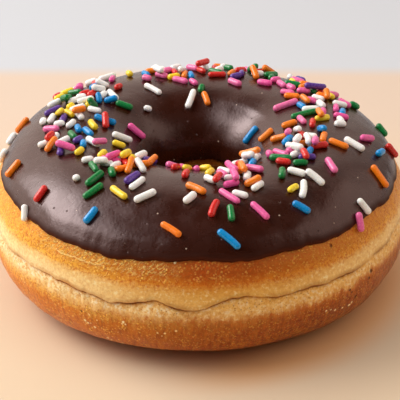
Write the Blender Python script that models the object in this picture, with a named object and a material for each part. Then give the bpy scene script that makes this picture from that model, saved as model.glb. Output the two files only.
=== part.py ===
"""A ring doughnut with chocolate icing and sprinkles, in metres, standing on Z = 0 with its hole along Z."""

import math
import random

import bmesh
import bpy
import numpy as np
from mathutils import Vector

MM = 0.001
SHARP_ANGLE = math.radians(50)

# Ring: a tube bent round the hole, rounder outside than in the hole
OUTER_RADIUS = 0.0479
CREST_RADIUS = 0.0277
HOLE_RADIUS = 0.0110
WAIST_HEIGHT = 0.0166
DOUGH_HEIGHT = 0.0339
FOOT_SINK = 0.0004  # how much of the round underside is pressed flat
UNDER_POWER = 2.7
OUTER_POWER = 2.0
INNER_POWER = 2.5

# Unevenness of the dough: waves round the ring, waves round the tube, phase, height
SWELLS = ((2, 1, 0.6, 0.00022), (4, 2, 2.3, 0.00014), (6, -3, 4.1, 0.00010), (8, 5, 1.0, 0.00006))
SWELL_CLEAR = 0.008  # the swells fade out this far above the foot

# Seam round the waist, where the upper half bulges over the lower half
SEAM_HEIGHT = 0.0183
SEAM_WAVES = ((1, -1.1, 0.00030), (3, 0.4, 0.00028), (7, 2.0, 0.00018), (13, 5.1, 0.00012))
SEAM_HUMPS = (  # azimuth and width in degrees, rise in mm
    (236, 12, -0.4),
    (248, 6, -1.1),
    (259, 3.5, 0.9),
    (268, 3.5, -0.8),
    (281, 6.5, 1.9),
    (298, 5, 1.0),
)
SEAM_REACH = 0.011  # rows this near to the seam follow its waves
WAIST_DENT = 0.0004
WAIST_DENT_WIDTH = 0.0045
LIP_STEP = 0.0006
LIP_FADE = 0.0030

# Icing: a skin over the top, from the outer edge into the hole
ICING_GAP = 0.0003
ICING_THICKNESS = 0.00115
ICING_EDGE_THICKNESS = 0.00045
ICING_TAPER = 0.0045  # how far in from its edge the icing reaches its full thickness
ICING_OUTER_HEIGHT = 0.0265
ICING_INNER_HEIGHT = 0.0205
ICING_LIP = 0.0006  # the edge itself is round over this width
OUTER_EDGE_WAVES = ((1, -5.4, 0.00040), (3, 0.9, 0.00030), (7, 2.2, 0.00022), (12, 4.0, 0.00016))
INNER_EDGE_WAVES = ((1, 2.0, 0.00030), (2, 1.0, 0.00025), (5, 3.0, 0.00020))

# Sprinkles: short rods with rounded ends
SPRINKLE_RADIUS = (0.00070, 0.00080)
SPRINKLE_LENGTH = (0.0021, 0.0052, 0.0028)  # shortest, longest, most usual
SPRINKLE_SINK = 0.00015
SPRINKLE_TOUCH = 0.00018  # sprinkles that lean on each other are pressed together by up to this
SPRINKLE_SIDES = 5
SPRINKLE_END = 0.45  # a rod starts to round off at this share of its radius from the tip
SPRINKLE_SEED = 11
LIFT_STEP = 0.0002
MOST_LIFTS = 8
MOST_TRIES = 40
FLAT_TRIES = 5  # a sprinkle tries this many places to lie flat before it leans on others
NEAR = 0.018  # two sprinkles whose first ends are farther apart than this can't touch
COLOURS = ("white", "pink", "yellow", "orange", "red", "green", "blue", "purple")
COLOUR_SHARES = (28, 13, 12, 14, 11, 9, 8, 5)

# Where sprinkles fell thickly: azimuth, its spread, radius in mm, its spread, how many
PATCHES = (
    (194, 7, 29.5, 2.4, 15),
    (176, 6, 30.5, 3.0, 9),
    (163, 7, 29.5, 3.2, 15),
    (147, 7, 30.5, 3.2, 13),
    (140, 10, 37.5, 2.0, 8),
    (223, 5, 27.0, 1.8, 9),
    (232, 5, 22.0, 2.0, 12),
    (105, 7, 31.0, 3.2, 15),
    (84, 8, 32.0, 3.2, 14),
    (66, 6, 32.0, 2.6, 12),
    (48, 7, 31.0, 3.0, 15),
    (28, 7, 31.5, 3.4, 15),
    (10, 6, 30.0, 2.4, 10),
    (323, 8, 27.0, 2.8, 17),
    (339, 5, 24.5, 2.0, 8),
    (287, 7, 25.5, 2.2, 16),
    (307, 6, 19.0, 1.4, 7),
    (255, 4, 16.8, 0.7, 4),
    (275, 3, 16.8, 0.5, 2),
)

# Sprinkles that lie apart: colour, azimuth, radius in mm, heading, length in mm.
# Heading 0 runs anticlockwise round the ring and 90 runs outwards.
STRAYS = (
    ("orange", 163, 43, 80, 4.5),
    ("white", 170, 44, 30, 3.5),
    ("white", 178, 45, 100, 4),
    ("orange", 195, 42, 75, 4.5),
    ("white", 191, 34.5, 85, 3),
    ("red", 216, 41, 80, 4),
    ("white", 214, 45, 60, 3.5),
    ("white", 222, 34.5, 110, 1.7),
    ("blue", 237, 40.5, 100, 4),
    ("green", 228, 32.5, 90, 5),
    ("green", 232, 35.5, 105, 5),
    ("yellow", 241, 34, 20, 5),
    ("white", 245, 30, 105, 4.5),
    ("purple", 241, 28.5, 100, 4.5),
    ("white", 251, 33.5, 135, 5),
    ("orange", 262, 40.5, 30, 5),
    ("white", 267, 33, 130, 3.5),
    ("orange", 269, 30, 35, 5),
    ("red", 275, 36, 115, 4.5),
    ("blue", 278, 42.5, 45, 5.5),
    ("green", 280, 37.5, 95, 4),
    ("pink", 281, 33, 55, 5.5),
    ("white", 285, 33, 35, 3.5),
    ("pink", 289, 38, 65, 5),
    ("white", 293, 31.5, 155, 3.5),
    ("blue", 302, 39.5, 55, 4),
    ("yellow", 304, 35, 170, 3),
    ("white", 307, 36, 135, 5),
    ("green", 306, 30, 135, 3.5),
    ("white", 311, 31.5, 60, 4),
    ("white", 314, 35, 75, 4.5),
    ("pink", 318, 45.5, 105, 4),
    ("white", 322, 44, 70, 4),
    ("pink", 325, 34.5, 125, 4.5),
    ("orange", 337, 42.5, 105, 5.5),
    ("orange", 341, 32.5, 100, 4.5),
    ("white", 345, 35.5, 110, 5),
    ("blue", 349, 41, 20, 3.5),
    ("pink", 354, 38, 50, 4),
    ("red", 358, 44, 85, 4),
    ("red", 358, 26, 5, 3.5),
    ("orange", 0, 21, 75, 3.5),
    ("orange", 357, 16, 55, 4),
    ("green", 10, 25, 75, 6.5),
    ("green", 12, 44, 125, 3.5),
    ("blue", 21, 13.5, 90, 4.5),
    ("pink", 26, 23, 95, 6),
    ("orange", 83, 18, 65, 4),
    ("green", 87, 21, 105, 2.5),
    ("white", 95, 18, 115, 5.5),
    ("white", 117, 23, 65, 5),
    ("white", 132, 17.5, 40, 2),
    ("pink", 164, 15, 90, 4.5),
    ("blue", 170, 21.5, 100, 5),
    ("white", 189, 17.5, 90, 4.5),
    ("yellow", 202, 19, 120, 3),
)

# Mesh: how many parts the ring is divided into, and rows round the tube
SEGMENTS = 48
ICED_ROWS = 8
ICING_ROWS = 9
CRUST_ROWS = 4
LOWER_ROWS = 3
FOOT_ROWS = 2
INNER_ROWS = 5
SEAM_ROWS = (-0.0014, -0.0001, 0.0004, 0.0018)
PROFILE_POINTS = 2400


def tube_profile():
    """Length run, radius and height along the tube's section, from the crest outwards and down, with its normals."""
    turn = math.pi / 2 - np.linspace(0, 2 * math.pi, PROFILE_POINTS + 1)
    side, rise = np.cos(turn), np.sin(turn)
    reach = np.where(side > 0, OUTER_RADIUS - CREST_RADIUS, CREST_RADIUS - HOLE_RADIUS)
    upper_power = np.where(side > 0, OUTER_POWER, INNER_POWER)
    power = np.where(rise > 0, upper_power, UNDER_POWER)
    tall = np.where(rise > 0, DOUGH_HEIGHT - WAIST_HEIGHT, WAIST_HEIGHT + FOOT_SINK)
    radius = CREST_RADIUS + reach * np.sign(side) * np.abs(side) ** (2 / power)
    height = WAIST_HEIGHT + tall * np.sign(rise) * np.abs(rise) ** (2 / power)
    height = np.maximum(height, 0)
    run = np.concatenate([[0], np.cumsum(np.hypot(np.diff(radius), np.diff(height)))])
    out, up = -np.gradient(height, run), np.gradient(radius, run)
    size = np.hypot(out, up)
    return run, radius, height, out / size, up / size


RUN, RADIUS, HEIGHT, OUT, UP = tube_profile()
AROUND = RUN[-1]


def on_profile(across):
    """Radius, height and normal where the section has run this far from its crest, outwards if positive."""
    return [float(np.interp(across % AROUND, RUN, values)) for values in (RADIUS, HEIGHT, OUT, UP)]


def across_at_height(height, outside):
    """How far from the crest the upper half of the section comes down to this height."""
    upper = HEIGHT >= WAIST_HEIGHT
    half = upper & ((RUN < AROUND / 2) if outside else (RUN > AROUND / 2))
    order = np.argsort(HEIGHT[half])
    run = float(np.interp(height, HEIGHT[half][order], RUN[half][order]))
    return run if outside else run - AROUND


def across_at_radius(radius):
    """How far from the crest the icing's surface has this radius."""
    reach = RADIUS + (ICING_GAP + ICING_THICKNESS) * OUT
    outside = radius > CREST_RADIUS
    half = (HEIGHT > WAIST_HEIGHT) & ((RUN < AROUND / 2) if outside else (RUN > AROUND / 2))
    order = np.argsort(reach[half])
    run = float(np.interp(radius, reach[half][order], RUN[half][order]))
    return run if outside else run - AROUND


SEAM_ACROSS = across_at_height(SEAM_HEIGHT, True)
ICING_OUTER = across_at_height(ICING_OUTER_HEIGHT, True)
ICING_INNER = across_at_height(ICING_INNER_HEIGHT, False)


def waves(azimuth, table):
    return sum(size * math.cos(count * azimuth + phase) for count, phase, size in table)


def smooth_step(value):
    value = min(1.0, max(0.0, value))
    return value * value * (3 - 2 * value)


def hump(value):
    return math.exp(-value * value)


def seam_rise(azimuth):
    """How far the seam wanders above its level."""
    rise = waves(azimuth, SEAM_WAVES)
    for centre, width, height in SEAM_HUMPS:
        away = math.remainder(azimuth - math.radians(centre), 2 * math.pi)
        rise += height * MM * hump(away / math.radians(width))
    return rise


def swell(azimuth, across):
    """The dough's slow unevenness. Its waves come in even numbers, so opposite sides match and the ring stays centred."""
    height = on_profile(across)[1]
    lump = sum(
        size * math.cos(ring * azimuth + tube * 2 * math.pi * across / AROUND + phase)
        for ring, tube, phase, size in SWELLS
    )
    return lump * smooth_step(height / SWELL_CLEAR)


def waist(below_seam):
    """The waist's dent, with a step at the seam where the upper half overhangs."""
    dent = -WAIST_DENT * hump(below_seam / WAIST_DENT_WIDTH)
    step = -LIP_STEP * math.exp(-below_seam / LIP_FADE) if below_seam > 0 else 0.0
    return dent + step


def ring_point(azimuth, across, lift):
    """A point of the section at this azimuth, lifted off the surface along its normal."""
    radius, height, out, up = on_profile(across)
    radius += lift * out
    return Vector((radius * math.cos(azimuth), radius * math.sin(azimuth), height + lift * up))


def dough_point(azimuth, across):
    below_seam = across - SEAM_ACROSS
    near = max(0.0, 1 - abs(below_seam) / SEAM_REACH)
    moved = across - seam_rise(azimuth) * smooth_step(near)
    return ring_point(azimuth, moved, swell(azimuth, moved) + waist(below_seam) * smooth_step(2 * near))


def icing_edges(azimuth):
    """Where the icing starts in the hole and where it ends outside."""
    inner = ICING_INNER - waves(azimuth, INNER_EDGE_WAVES)
    return inner, ICING_OUTER + waves(azimuth, OUTER_EDGE_WAVES)


def icing_thickness(inward):
    """The icing's thickness this far in from its edge, which is thin and round. Beyond the edge there is none."""
    short = 1 - min(1.0, max(0.0, inward) / ICING_LIP)
    edge = ICING_EDGE_THICKNESS * math.sqrt(1 - short * short)
    return edge + (ICING_THICKNESS - ICING_EDGE_THICKNESS) * smooth_step(inward / ICING_TAPER)


def ring_mesh(name, sections):
    """A closed ring from one list of points for each azimuth, every list running round the section the same way."""
    mesh = bpy.data.meshes.new(name)
    form = bmesh.new()
    rings = [[form.verts.new(point) for point in section] for section in sections]
    for here, there in zip(rings, rings[1:] + rings[:1]):
        for row in range(len(here)):
            after = (row + 1) % len(here)
            form.faces.new((here[row], here[after], there[after], there[row]))
    bmesh.ops.recalc_face_normals(form, faces=form.faces)
    form.to_mesh(mesh)
    form.free()
    mesh.shade_smooth()
    return mesh


def material(name, colour, roughness):
    made = bpy.data.materials.new(name)
    made.use_nodes = True
    shader = made.node_tree.nodes["Principled BSDF"]
    shader.inputs["Base Color"].default_value = (*colour, 1)
    shader.inputs["Roughness"].default_value = roughness
    shader.inputs["Metallic"].default_value = 0
    return made


def add_object(name, mesh, finish, collection):
    made = bpy.data.objects.new(name, mesh)
    made.data.materials.append(finish)
    collection.objects.link(made)
    return made


def make_dough(finish):
    """The fried ring, with rows that follow the seam and a flat foot."""
    foot = [run for run, height in zip(RUN, HEIGHT) if height == 0]
    hole_side = ICING_INNER + AROUND
    rows = [
        *np.linspace(ICING_INNER, ICING_OUTER, ICED_ROWS, endpoint=False),
        *np.linspace(ICING_OUTER, SEAM_ACROSS + SEAM_ROWS[0], CRUST_ROWS, endpoint=False),
        *(SEAM_ACROSS + step for step in SEAM_ROWS),
        *np.linspace(SEAM_ACROSS + SEAM_ROWS[-1], foot[0], LOWER_ROWS + 1, endpoint=False)[1:],
        *np.linspace(foot[0], foot[-1], FOOT_ROWS, endpoint=False),
        *np.linspace(foot[-1], hole_side, INNER_ROWS, endpoint=False),
    ]
    sections = [
        [dough_point(2 * math.pi * step / SEGMENTS, across) for across in rows] for step in range(SEGMENTS)
    ]
    return add_object("dough", ring_mesh("dough", sections), finish, bpy.context.scene.collection)


def icing_section(azimuth):
    """The icing's section: along the dough outwards, then back over its own surface."""
    inner, outer = icing_edges(azimuth)
    under = np.linspace(inner, outer, ICED_ROWS + 1)
    lip = (ICING_LIP / 4, ICING_LIP, ICING_TAPER / 2)
    over = [
        *(outer - step for step in lip),
        *np.linspace(outer - lip[-1], inner + lip[-1], ICING_ROWS + 1)[1:-1],
        *(inner + step for step in reversed(lip)),
    ]
    points = [ring_point(azimuth, across, swell(azimuth, across) + ICING_GAP) for across in under]
    for across in over:
        thickness = icing_thickness(min(across - inner, outer - across))
        points.append(ring_point(azimuth, across, swell(azimuth, across) + ICING_GAP + thickness))
    return points


def make_icing(finish):
    sections = [icing_section(2 * math.pi * step / SEGMENTS) for step in range(SEGMENTS)]
    return add_object("icing", ring_mesh("icing", sections), finish, bpy.context.scene.collection)


def bed_point(azimuth, across, lift):
    """A point over the icing's surface, or over the dough beyond the icing's edge."""
    inner, outer = icing_edges(azimuth)
    bed = ICING_GAP + icing_thickness(min(across - inner, outer - across))
    return ring_point(azimuth, across, swell(azimuth, across) + bed + lift)


def rod_ends(azimuth, across, heading, length, radius, lifts):
    """The centres of a rod's two round ends, lying along the heading."""
    ends = []
    for way, lift in zip((-1, 1), lifts):
        step = way * (length / 2 - radius)
        turn = step * math.cos(heading) / on_profile(across)[0]
        run = step * math.sin(heading)
        ends.append(bed_point(azimuth + turn, across + run, radius - SPRINKLE_SINK + lift))
    return ends


def nearest_distance(first, second):
    """The shortest distance between two straight pieces, each given by its two ends."""
    along, across, apart = first[1] - first[0], second[1] - second[0], first[0] - second[0]
    a, b, c = along.dot(along), along.dot(across), across.dot(across)
    d, e = along.dot(apart), across.dot(apart)
    spread = a * c - b * b
    here = min(1.0, max(0.0, (b * e - c * d) / spread)) if spread > 1e-18 else 0.0
    there = min(1.0, max(0.0, (b * here + e) / c)) if c > 0 else 0.0
    here = min(1.0, max(0.0, (b * there - d) / a)) if a > 0 else 0.0
    return ((first[0] + along * here) - (second[0] + across * there)).length


def settle(azimuth, across, heading, length, radius, laid, most_lifts=MOST_LIFTS):
    """The ends of a rod that lies on the icing or leans on the rods laid before it, or None where it finds no room."""
    lifts = [(one, other) for one in range(most_lifts) for other in range(most_lifts)]
    lifts.sort(key=lambda pair: (pair[0] + pair[1], abs(pair[0] - pair[1])))
    flat = rod_ends(azimuth, across, heading, length, radius, (0, 0))
    close = [rod for rod in laid if (rod[1][0] - flat[0]).length < NEAR]
    for pair in lifts:
        ends = rod_ends(azimuth, across, heading, length, radius, [LIFT_STEP * count for count in pair])
        room = [nearest_distance(ends, rod[1]) - rod[2] - radius for rod in close]
        if not room or min(room) > -SPRINKLE_TOUCH:
            return ends
    return None


def lay_sprinkles():
    """Every sprinkle as its colour, its two end centres and its radius: the strays first, then the patches."""
    draw = random.Random(SPRINKLE_SEED)
    laid = []
    for colour, azimuth, radius, heading, length in STRAYS:
        across = across_at_radius(radius * MM)
        thick = draw.uniform(*SPRINKLE_RADIUS)
        ends = settle(math.radians(azimuth), across, math.radians(heading), length * MM, thick, laid)
        if ends:
            laid.append((colour, ends, thick))
    for azimuth, azimuth_spread, radius, radius_spread, count in PATCHES:
        for _ in range(count):
            colour = draw.choices(COLOURS, COLOUR_SHARES)[0]
            length = draw.triangular(*SPRINKLE_LENGTH)
            thick = draw.uniform(*SPRINKLE_RADIUS)
            for attempt in range(MOST_TRIES):
                place = math.radians(draw.gauss(azimuth, azimuth_spread))
                across = across_at_radius(draw.gauss(radius, radius_spread) * MM)
                most = 1 if attempt < FLAT_TRIES else MOST_LIFTS
                ends = settle(place, across, draw.uniform(0, math.pi), length, thick, laid, most)
                if ends:
                    laid.append((colour, ends, thick))
                    break
    return laid


def rod_mesh(name, ends, radius):
    """A straight rod whose ends taper to a point, with few sides."""
    along = (ends[1] - ends[0]).normalized()
    side = along.orthogonal().normalized()
    other = along.cross(side)
    tips = [ends[0] - along * radius, ends[1] + along * radius]
    shoulders = [tips[0] + along * SPRINKLE_END * radius, tips[1] - along * SPRINKLE_END * radius]
    form = bmesh.new()
    start, finish = [form.verts.new(tip) for tip in tips]
    rings = []
    for centre in shoulders:
        ring = []
        for step in range(SPRINKLE_SIDES):
            turn = 2 * math.pi * step / SPRINKLE_SIDES
            ring.append(form.verts.new(centre + radius * (side * math.cos(turn) + other * math.sin(turn))))
        rings.append(ring)
    for step in range(SPRINKLE_SIDES):
        after = (step + 1) % SPRINKLE_SIDES
        form.faces.new((start, rings[0][after], rings[0][step]))
        form.faces.new((rings[0][step], rings[0][after], rings[1][after], rings[1][step]))
        form.faces.new((finish, rings[1][step], rings[1][after]))
    mesh = bpy.data.meshes.new(name)
    form.to_mesh(mesh)
    form.free()
    return mesh


def keep_largest_body(mesh):
    """Drops every piece of the mesh but the largest: loose scraps, and the walls of hollows sealed in a heap."""
    form = bmesh.new()
    form.from_mesh(mesh)
    left = set(form.verts)
    bodies = []
    while left:
        found = [left.pop()]
        for vert in found:
            for edge in vert.link_edges:
                neighbour = edge.other_vert(vert)
                if neighbour in left:
                    left.remove(neighbour)
                    found.append(neighbour)
        bodies.append(found)
    bodies.sort(key=len)
    for body in bodies[:-1]:
        bmesh.ops.delete(form, geom=body, context="VERTS")
    form.to_mesh(mesh)
    form.free()


def fuse_sprinkles(icing, finishes):
    """Joins every sprinkle to the icing with one Boolean union, applied, and removes the loose rods."""
    rods = bpy.data.collections.new("sprinkles")
    bpy.context.scene.collection.children.link(rods)
    for count, (colour, ends, radius) in enumerate(lay_sprinkles()):
        name = f"sprinkle_{count}"
        add_object(name, rod_mesh(name, ends, radius), finishes[colour], rods)
    union = icing.modifiers.new("sprinkles", "BOOLEAN")
    union.operation = "UNION"
    union.operand_type = "COLLECTION"
    union.collection = rods
    union.solver = "MANIFOLD"
    union.material_mode = "TRANSFER"
    graph = bpy.context.evaluated_depsgraph_get()
    fused = bpy.data.meshes.new_from_object(icing.evaluated_get(graph))
    icing.modifiers.remove(union)
    icing.data = fused
    keep_largest_body(fused)
    fused.set_sharp_from_angle(angle=SHARP_ANGLE)
    for rod in list(rods.objects):
        bpy.data.objects.remove(rod)
    bpy.data.collections.remove(rods)


def main():
    for old in list(bpy.data.objects):
        bpy.data.objects.remove(old)
    crust = material("crust", (0.60, 0.28, 0.09), 0.5)
    chocolate = material("chocolate", (0.06, 0.028, 0.020), 0.3)
    finishes = {
        "white": material("white", (0.86, 0.82, 0.76), 0.4),
        "pink": material("pink", (0.85, 0.13, 0.38), 0.4),
        "yellow": material("yellow", (0.92, 0.70, 0.04), 0.4),
        "orange": material("orange", (0.92, 0.27, 0.02), 0.4),
        "red": material("red", (0.66, 0.03, 0.02), 0.4),
        "green": material("green", (0.01, 0.21, 0.05), 0.4),
        "blue": material("blue", (0.00, 0.23, 0.60), 0.4),
        "purple": material("purple", (0.13, 0.05, 0.30), 0.4),
    }
    make_dough(crust)
    fuse_sprinkles(make_icing(chocolate), finishes)


main()
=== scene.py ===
"""Looks of the ring doughnut: crust, icing and sprinkles at full detail, with floor, light and camera."""

import math
import random

import bpy
import numpy as np
from mathutils import Matrix, Vector, noise


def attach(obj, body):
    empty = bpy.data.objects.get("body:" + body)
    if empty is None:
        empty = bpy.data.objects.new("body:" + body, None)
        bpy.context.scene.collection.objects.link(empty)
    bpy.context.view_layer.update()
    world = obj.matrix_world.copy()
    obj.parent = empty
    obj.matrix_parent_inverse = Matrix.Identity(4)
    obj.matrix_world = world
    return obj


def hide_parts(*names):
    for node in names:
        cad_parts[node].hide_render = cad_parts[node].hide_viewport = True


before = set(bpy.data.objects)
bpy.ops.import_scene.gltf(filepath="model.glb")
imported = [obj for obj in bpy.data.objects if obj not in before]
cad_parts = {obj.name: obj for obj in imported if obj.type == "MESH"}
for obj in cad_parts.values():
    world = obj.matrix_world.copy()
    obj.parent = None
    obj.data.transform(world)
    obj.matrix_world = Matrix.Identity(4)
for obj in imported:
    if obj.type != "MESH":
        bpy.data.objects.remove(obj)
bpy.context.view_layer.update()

MM = 0.001

# The ring's shape, in metres, with the same values as the solids
OUTER_RADIUS = 0.0479
CREST_RADIUS = 0.0277
HOLE_RADIUS = 0.0110
WAIST_HEIGHT = 0.0166
DOUGH_HEIGHT = 0.0339
FOOT_SINK = 0.0004
UNDER_POWER = 2.7
OUTER_POWER = 2.0
INNER_POWER = 2.5
# Swells: waves round the ring and round the tube, phase and size. All other waves: count, phase and size
SWELLS = ((2, 1, 0.6, 0.00022), (4, 2, 2.3, 0.00014), (6, -3, 4.1, 0.00010), (8, 5, 1.0, 0.00006))
SWELL_CLEAR = 0.008
SEAM_HEIGHT = 0.0183
SEAM_WAVES = ((1, -1.1, 0.00030), (3, 0.4, 0.00028), (7, 2.0, 0.00018), (13, 5.1, 0.00012))
SEAM_HUMPS = (  # azimuth and width in degrees, rise in mm
    (236, 12, -0.4),
    (248, 6, -1.1),
    (259, 3.5, 0.9),
    (268, 3.5, -0.8),
    (281, 6.5, 1.9),
    (298, 5, 1.0),
)
SEAM_REACH = 0.011
WAIST_DENT = 0.0004
WAIST_DENT_WIDTH = 0.0045
LIP_STEP = 0.0006
LIP_FADE = 0.0030
ICING_GAP = 0.0003
ICING_THICKNESS = 0.00115
ICING_EDGE_THICKNESS = 0.00045
ICING_TAPER = 0.0045  # how far in from its edge the icing reaches its full thickness
ICING_OUTER_HEIGHT = 0.0265
ICING_INNER_HEIGHT = 0.0205
ICING_LIP = 0.0006
OUTER_EDGE_WAVES = ((1, -5.4, 0.00040), (3, 0.9, 0.00030), (7, 2.2, 0.00022), (12, 4.0, 0.00016))
INNER_EDGE_WAVES = ((1, 2.0, 0.00030), (2, 1.0, 0.00025), (5, 3.0, 0.00020))
PROFILE_POINTS = 2400

# Sprinkles, laid with the same draw as the solids
SPRINKLE_RADIUS = (0.00070, 0.00080)
SPRINKLE_LENGTH = (0.0021, 0.0052, 0.0028)
SPRINKLE_SINK = 0.00015
SPRINKLE_TOUCH = 0.00018
SPRINKLE_SEED = 11
LIFT_STEP = 0.0002
MOST_LIFTS = 8
MOST_TRIES = 40
FLAT_TRIES = 5
NEAR = 0.018
PARALLEL = 1e-18  # below this, two rods count as parallel
COLOURS = ("white", "pink", "yellow", "orange", "red", "green", "blue", "purple")
COLOUR_SHARES = (28, 13, 12, 14, 11, 9, 8, 5)
# Heaps: azimuth and its spread in degrees, radius and its spread in mm, and the number of sprinkles
PATCHES = (
    (194, 7, 29.5, 2.4, 15),
    (176, 6, 30.5, 3.0, 9),
    (163, 7, 29.5, 3.2, 15),
    (147, 7, 30.5, 3.2, 13),
    (140, 10, 37.5, 2.0, 8),
    (223, 5, 27.0, 1.8, 9),
    (232, 5, 22.0, 2.0, 12),
    (105, 7, 31.0, 3.2, 15),
    (84, 8, 32.0, 3.2, 14),
    (66, 6, 32.0, 2.6, 12),
    (48, 7, 31.0, 3.0, 15),
    (28, 7, 31.5, 3.4, 15),
    (10, 6, 30.0, 2.4, 10),
    (323, 8, 27.0, 2.8, 17),
    (339, 5, 24.5, 2.0, 8),
    (287, 7, 25.5, 2.2, 16),
    (307, 6, 19.0, 1.4, 7),
    (255, 4, 16.8, 0.7, 4),
    (275, 3, 16.8, 0.5, 2),
)
# Sprinkles that lie apart: colour, azimuth, radius in mm, heading in degrees and length in mm
STRAYS = (
    ("orange", 163, 43, 80, 4.5),
    ("white", 170, 44, 30, 3.5),
    ("white", 178, 45, 100, 4),
    ("orange", 195, 42, 75, 4.5),
    ("white", 191, 34.5, 85, 3),
    ("red", 216, 41, 80, 4),
    ("white", 214, 45, 60, 3.5),
    ("white", 222, 34.5, 110, 1.7),
    ("blue", 237, 40.5, 100, 4),
    ("green", 228, 32.5, 90, 5),
    ("green", 232, 35.5, 105, 5),
    ("yellow", 241, 34, 20, 5),
    ("white", 245, 30, 105, 4.5),
    ("purple", 241, 28.5, 100, 4.5),
    ("white", 251, 33.5, 135, 5),
    ("orange", 262, 40.5, 30, 5),
    ("white", 267, 33, 130, 3.5),
    ("orange", 269, 30, 35, 5),
    ("red", 275, 36, 115, 4.5),
    ("blue", 278, 42.5, 45, 5.5),
    ("green", 280, 37.5, 95, 4),
    ("pink", 281, 33, 55, 5.5),
    ("white", 285, 33, 35, 3.5),
    ("pink", 289, 38, 65, 5),
    ("white", 293, 31.5, 155, 3.5),
    ("blue", 302, 39.5, 55, 4),
    ("yellow", 304, 35, 170, 3),
    ("white", 307, 36, 135, 5),
    ("green", 306, 30, 135, 3.5),
    ("white", 311, 31.5, 60, 4),
    ("white", 314, 35, 75, 4.5),
    ("pink", 318, 45.5, 105, 4),
    ("white", 322, 44, 70, 4),
    ("pink", 325, 34.5, 125, 4.5),
    ("orange", 337, 42.5, 105, 5.5),
    ("orange", 341, 32.5, 100, 4.5),
    ("white", 345, 35.5, 110, 5),
    ("blue", 349, 41, 20, 3.5),
    ("pink", 354, 38, 50, 4),
    ("red", 358, 44, 85, 4),
    ("red", 358, 26, 5, 3.5),
    ("orange", 0, 21, 75, 3.5),
    ("orange", 357, 16, 55, 4),
    ("green", 10, 25, 75, 6.5),
    ("green", 12, 44, 125, 3.5),
    ("blue", 21, 13.5, 90, 4.5),
    ("pink", 26, 23, 95, 6),
    ("orange", 83, 18, 65, 4),
    ("green", 87, 21, 105, 2.5),
    ("white", 95, 18, 115, 5.5),
    ("white", 117, 23, 65, 5),
    ("white", 132, 17.5, 40, 2),
    ("pink", 164, 15, 90, 4.5),
    ("blue", 170, 21.5, 100, 5),
    ("white", 189, 17.5, 90, 4.5),
    ("yellow", 202, 19, 120, 3),
)


def tube_profile():
    """Length run, radius and height along the tube's section, from the crest outwards and down, with its normals."""
    turn = math.pi / 2 - np.linspace(0, 2 * math.pi, PROFILE_POINTS + 1)
    side, rise = np.cos(turn), np.sin(turn)
    reach = np.where(side > 0, OUTER_RADIUS - CREST_RADIUS, CREST_RADIUS - HOLE_RADIUS)
    upper_power = np.where(side > 0, OUTER_POWER, INNER_POWER)
    power = np.where(rise > 0, upper_power, UNDER_POWER)
    tall = np.where(rise > 0, DOUGH_HEIGHT - WAIST_HEIGHT, WAIST_HEIGHT + FOOT_SINK)
    radius = CREST_RADIUS + reach * np.sign(side) * np.abs(side) ** (2 / power)
    height = WAIST_HEIGHT + tall * np.sign(rise) * np.abs(rise) ** (2 / power)
    height = np.maximum(height, 0)
    run = np.concatenate([[0], np.cumsum(np.hypot(np.diff(radius), np.diff(height)))])
    out, up = -np.gradient(height, run), np.gradient(radius, run)
    size = np.hypot(out, up)
    return run, radius, height, out / size, up / size


RUN, RADIUS, HEIGHT, OUT, UP = tube_profile()
AROUND = RUN[-1]


def on_profile(across):
    """Radius, height and normal where the section has run this far from its crest, outwards if positive."""
    return [np.interp(across % AROUND, RUN, values) for values in (RADIUS, HEIGHT, OUT, UP)]


def across_at_height(height, outside):
    """How far from the crest the upper half of the section comes down to this height."""
    upper = HEIGHT >= WAIST_HEIGHT
    half = upper & ((RUN < AROUND / 2) if outside else (RUN > AROUND / 2))
    order = np.argsort(HEIGHT[half])
    run = float(np.interp(height, HEIGHT[half][order], RUN[half][order]))
    return run if outside else run - AROUND


def across_at_radius(radius):
    """How far from the crest the icing's surface has this radius."""
    reach = RADIUS + (ICING_GAP + ICING_THICKNESS) * OUT
    outside = radius > CREST_RADIUS
    half = (HEIGHT > WAIST_HEIGHT) & ((RUN < AROUND / 2) if outside else (RUN > AROUND / 2))
    order = np.argsort(reach[half])
    run = float(np.interp(radius, reach[half][order], RUN[half][order]))
    return run if outside else run - AROUND


SEAM_ACROSS = across_at_height(SEAM_HEIGHT, True)
ICING_OUTER = across_at_height(ICING_OUTER_HEIGHT, True)
ICING_INNER = across_at_height(ICING_INNER_HEIGHT, False)


def waves(azimuth, table):
    """Waves round the ring, each given as its count, phase and size."""
    return sum(size * np.cos(count * azimuth + phase) for count, phase, size in table)


def smooth_step(value):
    value = np.clip(value, 0.0, 1.0)
    return value * value * (3 - 2 * value)


def hump(value):
    return np.exp(-value * value)


def turned(azimuth, centre):
    """How far the azimuth lies from the centre, the short way round, in radians."""
    return (azimuth - centre + math.pi) % (2 * math.pi) - math.pi


def seam_rise(azimuth):
    """How far the seam wanders above its level."""
    rise = waves(azimuth, SEAM_WAVES)
    for centre, width, height in SEAM_HUMPS:
        rise = rise + height * MM * hump(turned(azimuth, math.radians(centre)) / math.radians(width))
    return rise


def swell(azimuth, across):
    """The dough's slow unevenness."""
    height = on_profile(across)[1]
    lump = sum(
        size * np.cos(ring * azimuth + tube * 2 * math.pi * across / AROUND + phase)
        for ring, tube, phase, size in SWELLS
    )
    return lump * smooth_step(height / SWELL_CLEAR)


def waist(below_seam):
    """The waist's dent, with a step at the seam where the upper half overhangs."""
    dent = -WAIST_DENT * hump(below_seam / WAIST_DENT_WIDTH)
    return dent + np.where(below_seam > 0, -LIP_STEP * np.exp(-np.maximum(below_seam, 0) / LIP_FADE), 0.0)


def ring_points(azimuth, across, lift):
    """Points of the section at these azimuths, lifted off the surface along its normal."""
    radius, height, out, up = on_profile(across)
    radius = radius + lift * out
    return np.stack([radius * np.cos(azimuth), radius * np.sin(azimuth), height + lift * up], axis=-1)


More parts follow.
